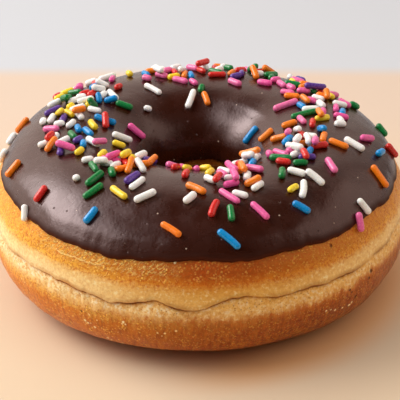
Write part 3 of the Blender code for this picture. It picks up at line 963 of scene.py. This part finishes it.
def with_torn_edge(n, colour, torn, around):
    """The colour with painted shade in the hollows and pores under the crack and pale flakes between, all clearer on
    the lit left, and the pores.
    """
    flakes = n.noise(FLAKE_SIZE, 4, 0.7)
    # Painted shade: the torn band's hollows are darker and more orange, in place of relief
    hollow_shade = n.times(n.span(flakes, 0.50, 0.38), torn, n.span(around, 10.0, -20.0, 0.30, 0.60))
    colour = n.mix(hollow_shade, colour, HOLLOW_SHADE)
    # Pale flakes, laid stronger on the lit left: partly painted light
    pale = n.times(n.span(flakes, 0.50, 0.62), torn, n.span(around, 10.0, -20.0, 0.36, 0.85))
    colour = n.mix(pale, colour, FLAKE)
    pores = n.span(n.cells(PORE_SIZE), 0.14, 0.30, 1.0, 0.0)
    pores = n.times(pores, torn, n.span(n.noise(PORE_GROUP_SIZE, 2), 0.36, 0.52))
    # Painted shade: the tiny pores are darkened
    return n.mix(n.times(pores, PORE_SHADE_SHARE), colour, PORE_SHADE), pores


def with_crack_shade(n, colour, seam, toast_and_shade):
    """The colour with painted shade in the crack and a soft painted shadow along it."""
    deep = n.attribute("crack_depth")
    # Painted shadow: a soft browner band along the crack, where the upper half overhangs
    crack_shadow = n.times(n.span(n.away(seam, -0.10), 0.25, 1.30, 0.62, 0.0), deep)
    colour = n.mix(crack_shadow, colour, n.mix(toast_and_shade, CRACK_SHADOW_GOLDEN, CRACK_SHADOW_DEEP))
    crack = n.mix(n.span(toast_and_shade, 0.0, 0.5), CRACK_SHADE_GOLDEN, CRACK_SHADE_DEEP)
    # Painted shade: the crack itself is darker
    dark = n.times(n.span(n.away(seam, 0.12), 0.12, 0.46, 1.0, 0.0), deep, n.span(toast_and_shade, 0.0, 0.4, 0.7, 1.0))
    return n.mix(dark, colour, crack)


def crust_material():
    """Fried dough: browned above and below, pale where the two halves met, with a rough torn edge under the crack."""
    n = Nodes(bpy.data.materials.new("crust"))
    seam, level, around, toast_and_shade = [n.attribute(name) for name in ("below_seam", "below_level", "round", "toast_and_shade")]
    skin = n.vector(around, level)
    browned = browned_level(n, level, skin)
    crusty = n.math("ADD", n.span(browned, -2.4, -4.4), n.span(browned, 2.8, 4.7))
    torn = n.times(n.span(seam, 0.1, 0.6), n.span(browned, 3.8, 2.2))
    grain = n.noise(GRAIN_SIZE, 3, 0.7)
    # Golden or deep brown by browning and by painted light and shade: golden on the lit left side
    colour = n.mix(toast_and_shade, n.ramp(browned, GOLDEN), n.ramp(browned, DEEP))
    colour, flecks = with_flecks(n, colour, grain, crusty, around)
    colour, raised = with_streaks(n, colour, level, around, skin)
    colour = with_strands(n, colour, level, around, skin)
    colour = with_crumb(n, colour, crusty)
    colour, pores = with_torn_edge(n, colour, torn, around)
    colour = with_crack_shade(n, colour, seam, toast_and_shade)
    from_axis = n.vector_math("LENGTH", n.vector_math("MULTIPLY", n.place, (1, 1, 0)))
    # Painted shade: the crust darkens inside the hole
    colour = n.mix(n.span(from_axis, *HOLE_SHADE_RADIUS, 0.0, HOLE_SHADE_SHARE), colour, HOLE_SHADE)
    ragged = n.either_way(n.noise(RAGGED_SIZE, 2), RAGGED_REACH)
    pits = n.spots(skin, PITS, ragged)
    # Painted shade: the pits are darkened
    colour = n.mix(n.times(pits, PIT_SHADE_SHARE), colour, PIT_SHADE)
    # Painted highlight: pale glints where the light catches the crust
    colour = n.mix(n.spots(skin, GLINTS, ragged), colour, GLINT)
    n.set("Base Color", colour)
    gloss = n.span(n.noise(GLOSS_SIZE, 3), 0.25, 0.75, 0.28, 0.42)
    n.set("Roughness", n.math("MULTIPLY_ADD", torn, 0.2, gloss))
    n.set("Specular IOR Level", n.math("MULTIPLY_ADD", torn, -0.22, 0.36))
    n.set("Specular Tint", CRUST_SHEEN)
    bumps = n.bump(grain, GRAIN_RELIEF)
    bumps = n.bump(n.noise(DIMPLE_SIZE, 3, 0.6), DIMPLE_RELIEF, bumps)
    bumps = n.bump(raised, STREAK_RELIEF, bumps)
    bumps = n.bump(flecks, FLECK_RELIEF, bumps)
    bumps = n.bump(n.math("SUBTRACT", 1.0, pits), PIT_RELIEF, bumps)
    n.set("Normal", n.bump(n.math("SUBTRACT", 1.0, pores), PORE_RELIEF, bumps))
    return n.owner


CHOCOLATE = (srgb(43, 15, 6), srgb(56, 21, 9))
CHOCOLATE_THIN = srgb(82, 30, 12)
# Painted highlight colour of the icing's specks
SPECK_HIGHLIGHT = srgb(214, 190, 170)
SPECK_HIGHLIGHT_SHARE = 0.6
ICING_SHEEN = (1.0, 0.80, 0.80, 1)
# Sizes of the icing's noise and its relief, in metres
CHOCOLATE_SIZE = 0.006
SPECK_HIGHLIGHT_SIZE = 0.0042
SATIN_SIZE = 0.003
BUBBLE_SIZE, BUBBLE_RELIEF = 0.0031, 0.00010
SKIN_FINE_SIZE, SKIN_FINE_RELIEF = 0.0006, 0.000035
SKIN_SIZE, SKIN_RELIEF = 0.0020, 0.00005


def chocolate_material():
    """Set icing: a satin skin with tiny pits and a few pale specks painted as specular points, duller along its thin
    edge.
    """
    n = Nodes(bpy.data.materials.new("chocolate"))
    edge = n.attribute("from_edge")
    base = n.mix(n.noise(CHOCOLATE_SIZE, 3), *CHOCOLATE)
    base = n.mix(n.span(edge, 0.0, 0.9, 0.55, 0.0), base, CHOCOLATE_THIN)
    # Painted highlight: pale specks for the icing's specular points
    specks = n.span(n.cells(SPECK_HIGHLIGHT_SIZE), 0.030, 0.055, 1.0, 0.0)
    n.set("Base Color", n.mix(n.times(specks, SPECK_HIGHLIGHT_SHARE), base, SPECK_HIGHLIGHT))
    gloss = n.span(n.noise(SATIN_SIZE, 4), 0.3, 0.7, 0.23, 0.30)
    n.set("Roughness", n.math("ADD", gloss, n.span(edge, 0.1, 1.9, 0.35, 0.0)))
    n.set("Specular IOR Level", n.span(edge, 0.2, 2.2, 0.12, 0.82))
    n.set("Specular Tint", ICING_SHEEN)
    bumps = n.bump(n.noise(SKIN_FINE_SIZE, 3), SKIN_FINE_RELIEF)
    bumps = n.bump(n.noise(SKIN_SIZE, 3), SKIN_RELIEF, bumps)
    n.set("Normal", n.bump(n.span(n.cells(BUBBLE_SIZE), 0.03, 0.09), BUBBLE_RELIEF, bumps))
    return n.owner


SPRINKLE_TINTS = {
    "white": (srgb(250, 248, 243), srgb(254, 252, 250)),
    "pink": (srgb(238, 84, 160), srgb(246, 164, 192)),
    "yellow": (srgb(250, 214, 30), srgb(252, 224, 80)),
    "orange": (srgb(250, 128, 20), srgb(252, 150, 50)),
    "red": (srgb(212, 36, 32), srgb(226, 60, 50)),
    "green": (srgb(16, 122, 58), srgb(30, 140, 72)),
    "blue": (srgb(0, 138, 208), srgb(0, 158, 226)),
    "purple": (srgb(92, 56, 146), srgb(112, 76, 162)),
}
SPRINKLE_SHADE = srgb(0, 0, 0)
PALE_SHARE = 0.35
SHADE_SHARE = 0.07
SUGAR_SHEEN = 0.65
SUGAR_GLOW = 0.12
SUGAR_GLOW_COLOUR = (1.0, 0.7, 0.5)
SUGAR_GLOW_DEPTH = 0.0004
# Sizes of the sprinkles' noise and their relief, in metres
SHADE_SIZE = 0.0007
ROD_GLOSS_SIZE = 0.0005
ROD_SKIN_SIZE, ROD_SKIN_RELIEF = 0.0006, 0.00003


def sprinkle_material(name, colour, pale):
    """Sugar rod: satin, a little translucent, no two quite the same shade."""
    n = Nodes(bpy.data.materials.new(name))
    tint = n.mix(n.times(n.attribute("shade"), PALE_SHARE), colour, pale)
    shaded = n.span(n.noise(SHADE_SIZE, 3), 0.3, 0.7, SHADE_SHARE, 0.0)
    n.set("Base Color", n.mix(shaded, tint, SPRINKLE_SHADE))
    n.set("Roughness", n.span(n.noise(ROD_GLOSS_SIZE, 2), 0.3, 0.7, 0.22, 0.36))
    n.set("Specular IOR Level", SUGAR_SHEEN)
    n.set("Subsurface Weight", SUGAR_GLOW)
    n.set("Subsurface Radius", SUGAR_GLOW_COLOUR)
    n.set("Subsurface Scale", SUGAR_GLOW_DEPTH)
    n.set("Normal", n.bump(n.noise(ROD_SKIN_SIZE, 2), ROD_SKIN_RELIEF))
    return n.owner


def add_piece(name, mesh, finish, replaced):
    piece = bpy.data.objects.new(name, mesh)
    piece.data.materials.append(finish)
    bpy.context.scene.collection.objects.link(piece)
    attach(piece, "root")
    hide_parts(replaced)


# Camera: fitted to the doughnut's outline, icing edge and seam
VIEW_ELEVATION = math.radians(29.14)
VIEW_ROLL = math.radians(0.89)
VIEW_DISTANCE = 0.320
VIEW_AIM_HEIGHT = 0.01616
VIEW_FOCAL_PIXELS = 1375.6
VIEW_SHIFT_PIXELS = 1.55
FRAME_PIXELS = 400
SENSOR_MM = 36
CLIP_START = 0.01


def make_camera():
    data = bpy.data.cameras.new("camera")
    data.sensor_width = SENSOR_MM
    data.lens = VIEW_FOCAL_PIXELS * SENSOR_MM / FRAME_PIXELS
    data.shift_x = VIEW_SHIFT_PIXELS / FRAME_PIXELS
    data.clip_start = CLIP_START
    camera = bpy.data.objects.new("camera", data)
    back = Vector((0, -math.cos(VIEW_ELEVATION), math.sin(VIEW_ELEVATION)))
    level = Vector((1, 0, 0))
    upright = back.cross(level)
    right = level * math.cos(VIEW_ROLL) - upright * math.sin(VIEW_ROLL)
    up = level * math.sin(VIEW_ROLL) + upright * math.cos(VIEW_ROLL)
    place = back * VIEW_DISTANCE + Vector((0, 0, VIEW_AIM_HEIGHT))
    camera.matrix_world = Matrix((
        (right.x, up.x, back.x, place.x),
        (right.y, up.y, back.y, place.y),
        (right.z, up.z, back.z, place.z),
        (0, 0, 0, 1),
    ))
    bpy.context.scene.collection.objects.link(camera)
    bpy.context.scene.camera = camera


# Floor: pale warm board, with painted warm shadow and bounced colour close to the doughnut's right side, and pale
# grey far behind
FLOOR_HALF = 1.5
FLOOR_TILT = 0.038  # how far the changes in depth slant, from left to right
FLOOR_NEAR = (0.02, 0.09)
FLOOR_FAR = (0.1053, 0.1153)
FLOOR_SHADOW_REACH = (0.045, 0.055)
FLOOR_SHADOW_SIDE = (-0.014, 0.014)
BOARD_FRONT = srgb(222, 199, 170)
BOARD_BACK = srgb(218, 196, 176)
# Painted warm shadow and bounced colour
BOARD_PAINTED_SHADOW = srgb(226, 174, 122)
FAR_GREY = srgb(202, 205, 210)
FLOOR_ROUGHNESS = 0.6
FLOOR_SHEEN = 0.3


def make_floor():
    mesh = bpy.data.meshes.new("floor")
    corners = [(-1, -1), (1, -1), (1, 1), (-1, 1)]
    mesh.from_pydata([(x * FLOOR_HALF, y * FLOOR_HALF, 0) for x, y in corners], [], [(0, 1, 2, 3)])
    n = Nodes(bpy.data.materials.new("floor"))
    x, y, _ = n.split(n.place)
    depth = n.math("MULTIPLY_ADD", x, FLOOR_TILT, y)
    board = n.mix(n.span(depth, *FLOOR_NEAR), BOARD_FRONT, BOARD_BACK)
    close = n.span(n.vector_math("LENGTH", n.place), *FLOOR_SHADOW_REACH, 1.0, 0.0)
    # Painted shadow: the board turns warmer close to the doughnut's right side, as if lit by its bounced colour
    board = n.mix(n.times(close, n.span(x, *FLOOR_SHADOW_SIDE)), board, BOARD_PAINTED_SHADOW)
    n.set("Base Color", n.mix(n.span(depth, *FLOOR_FAR), board, FAR_GREY))
    n.set("Roughness", FLOOR_ROUGHNESS)
    n.set("Specular IOR Level", FLOOR_SHEEN)
    mesh.materials.append(n.owner)
    floor = bpy.data.objects.new("floor", mesh)
    bpy.context.scene.collection.objects.link(floor)


# Area lights: name, place, aim, size, power in watts and colour
LIGHTS = (
    ("window", (-0.61, 0.11, 0.62), (0, 0, 0.02), (0.98, 0.70), 4.95, (1.0, 0.99, 0.98)),
    ("window_core", (-0.61, 0.14, 0.58), (0, 0, 0.02), (0.60, 0.36), 3.2, (1.0, 0.99, 0.98)),
    ("right_wall", (0.80, 0.04, 0.44), (0, 0, 0.02), (1.05, 0.80), 2.1, (1.0, 0.80, 0.68)),
    ("ceiling", (0.18, -0.28, 0.62), (0, -0.05, 0), (0.80, 0.80), 2.3, (1.0, 0.97, 0.93)),
)
UNSEEN_IN_GLOSS = ("ceiling",)
# The room's brightness: along each axis, where it has faded away and where it is full
SKY_AXES = (("Z", 0.92, 0.55), ("Y", -0.75, 0.05), ("X", 1.3, -0.6))
SKY_STRENGTH = 1.35
SKY_COLOUR = (1.0, 0.86, 0.76, 1)


def add_light(name, place, aim, size, power, colour):
    data = bpy.data.lights.new(name, "AREA")
    data.shape = "RECTANGLE"
    data.size, data.size_y = size
    data.energy = power
    data.color = colour
    light = bpy.data.objects.new(name, data)
    light.location = place
    light.rotation_euler = (Vector(aim) - Vector(place)).to_track_quat("-Z", "Y").to_euler()
    light.visible_glossy = name not in UNSEEN_IN_GLOSS
    bpy.context.scene.collection.objects.link(light)


def make_sky():
    """A room whose walls are bright low down behind and at the sides, and dark overhead and behind the camera."""
    n = Nodes(bpy.data.worlds.new("world"), "Background")
    way = n.split(n.coordinates["Generated"])
    shares = [n.span(way[axis], faded, full) for axis, faded, full in SKY_AXES]
    n.set("Strength", n.times(*shares, SKY_STRENGTH))
    n.set("Color", SKY_COLOUR)
    bpy.context.scene.world = n.owner


def main():
    make_camera()
    make_floor()
    for light in LIGHTS:
        add_light(*light)
    make_sky()
    add_piece("dough_ring", make_dough(), crust_material(), "dough")
    add_piece("icing_skin", make_icing(), chocolate_material(), "icing")
    for colour, mesh in make_sprinkles().items():
        finish = sprinkle_material(f"sprinkle_{colour}", *SPRINKLE_TINTS[colour])
        add_piece(f"sprinkles_{colour}", mesh, finish, "icing")
    bpy.context.scene.view_settings.view_transform = "Standard"


main()
